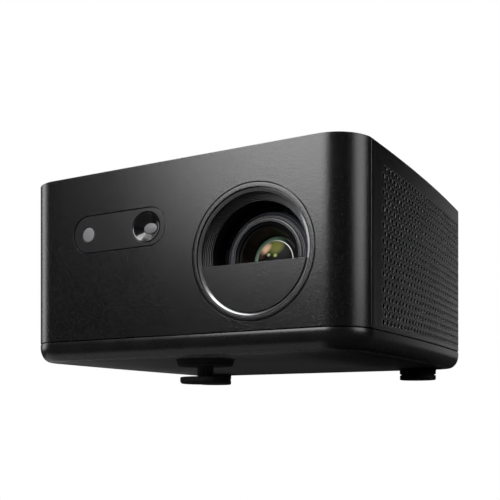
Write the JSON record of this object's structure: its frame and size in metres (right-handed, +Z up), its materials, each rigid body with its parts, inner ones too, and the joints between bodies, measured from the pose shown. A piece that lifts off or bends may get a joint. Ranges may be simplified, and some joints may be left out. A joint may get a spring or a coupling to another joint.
{
  "type": "home projector",
  "caption": "Box-shaped home projector with a deep round lens opening in front, a sensor window, perforated sides and a bowl-shaped base on feet, the front one adjustable.",
  "frame": {"origin": "on the standing surface, under the middle of the body, at the level of the front foot's tread as it is screwed out", "axes": "+Z up, -Y out of the front towards the screen, +X to the right as seen from the front; the body is level"},
  "size_m": [0.24, 0.2246, 0.1327],
  "materials": {
    "shell_paint": "fine sand-textured metallic charcoal paint",
    "base_plastic": "smooth satin black",
    "plate_plastic": "fine matte grain",
    "inner_plastic": "matte black",
    "lens_metal": "satin black anodised",
    "window_plastic": "smooth dark infrared window",
    "sensor_grey": "smoked clear plastic",
    "lens_glass": "coated optical glass",
    "rubber": "matte",
    "steel": "plated",
    "cast_metal": "die-cast or extruded, satin",
    "copper": "bare copper",
    "circuit_board": "green solder mask",
    "nylon": "natural nylon or flat cable"
  },
  "bodies": {
    "root": {"front_cover": "shell_paint", "top_cover": "shell_paint", "side_grille_right": "shell_paint", "side_grille_left": "shell_paint", "rear_cover": "shell_paint", "base_tray": "base_plastic", "bottom_plate": "plate_plastic", "power_button_spring": "steel", "rear_foot_right": "rubber", "rear_foot_left": "rubber", "base_screw_1": "steel", "base_screw_2": "steel", "base_screw_3": "steel", "base_screw_4": "steel", "lens_trim_ring": "shell_paint", "lens_baffle": "inner_plastic", "lens_shield_plate": "shell_paint", "lens_dust_seal": "rubber", "lens_barrel": "lens_metal", "rear_lens_element": "lens_glass", "focus_motor": "steel", "sensor_window": "window_plastic", "camera_bezel": "base_plastic", "camera_eye": "sensor_grey", "receiver_eye": "sensor_grey", "sensor_board": "circuit_board", "light_engine_housing": "cast_metal", "light_engine_lid": "cast_metal", "lamp_module_red": "circuit_board", "lamp_module_green": "circuit_board", "lamp_module_blue": "circuit_board", "lamp_heat_sink": "cast_metal", "heat_pipe_front": "copper", "heat_pipe_rear": "copper", "imaging_chip_board": "circuit_board", "imaging_chip_heat_sink": "cast_metal", "main_board": "circuit_board", "power_supply_board": "circuit_board", "chip_ribbon_cable": "nylon", "mains_inlet": "inner_plastic", "hdmi_socket_1": "steel", "hdmi_socket_2": "steel", "usb_socket": "steel", "audio_socket": "inner_plastic", "speaker_box_right": "inner_plastic", "speaker_box_left": "inner_plastic", "speaker_driver_right": "inner_plastic", "speaker_driver_left": "inner_plastic", "exhaust_fan_frame": "inner_plastic", "intake_fan_frame": "inner_plastic"},
    "foot_stem": {"front_foot_stem": "inner_plastic"},
    "foot_pad": {"front_foot_pad": "rubber"},
    "power_button": {"power_button": "base_plastic"},
    "focus_ring": {"focus_ring": "nylon"},
    "focus_pinion": {"focus_pinion": "nylon"},
    "front_lens_group": {"front_lens_cell": "lens_metal", "front_lens_element": "lens_glass"},
    "exhaust_rotor": {"exhaust_fan_rotor": "inner_plastic"},
    "intake_rotor": {"intake_fan_rotor": "inner_plastic"}
  },
  "joints": [
    {"name": "front_foot_travel", "type": "slide", "parent": "root", "child": "foot_stem", "axis": [0, 0, 1], "range_m": [-0.0031, 0.0069]},
    {"name": "front_foot_turn", "type": "hinge", "parent": "foot_stem", "child": "foot_pad", "pos_m": [0, -0.075, 0], "axis": [0, 0, 1], "range_deg": [-830, 374]},
    {"name": "power_button_press", "type": "slide", "parent": "root", "child": "power_button", "axis": [0, 0, -1], "range_m": [0, 0.0008], "stiffness_N_per_m": 800, "springref_m": -0.001, "deforming": ["power_button_spring"]},
    {"name": "focus_ring_turn", "type": "hinge", "parent": "root", "child": "focus_ring", "pos_m": [0.05335, -0.069, 0.07245], "axis": [0, 1, 0], "range_deg": [-41, 41]},
    {"name": "focus_pinion_spin", "type": "hinge", "parent": "root", "child": "focus_pinion", "pos_m": [0.0257, -0.069, 0.1001], "axis": [0, 1, 0], "range_deg": [-163, 163]},
    {"name": "front_lens_focus", "type": "slide", "parent": "root", "child": "front_lens_group", "axis": [0, 1, 0], "range_m": [-0.0012, 0.0012]},
    {"name": "exhaust_fan_spin", "type": "hinge", "parent": "root", "child": "exhaust_rotor", "pos_m": [-0.098, 0.018, 0.0774], "axis": [1, 0, 0], "continuous": true},
    {"name": "intake_fan_spin", "type": "hinge", "parent": "root", "child": "intake_rotor", "pos_m": [0.101, 0.032, 0.0774], "axis": [1, 0, 0], "continuous": true}
  ],
  "couplings": [
    {"joint": "front_foot_turn", "follows": "front_foot_travel", "rad_per_m": -2094.4},
    {"joint": "focus_ring_turn", "follows": "front_lens_focus", "rad_per_m": 588},
    {"joint": "focus_pinion_spin", "follows": "front_lens_focus", "rad_per_m": -2352}
  ]
}
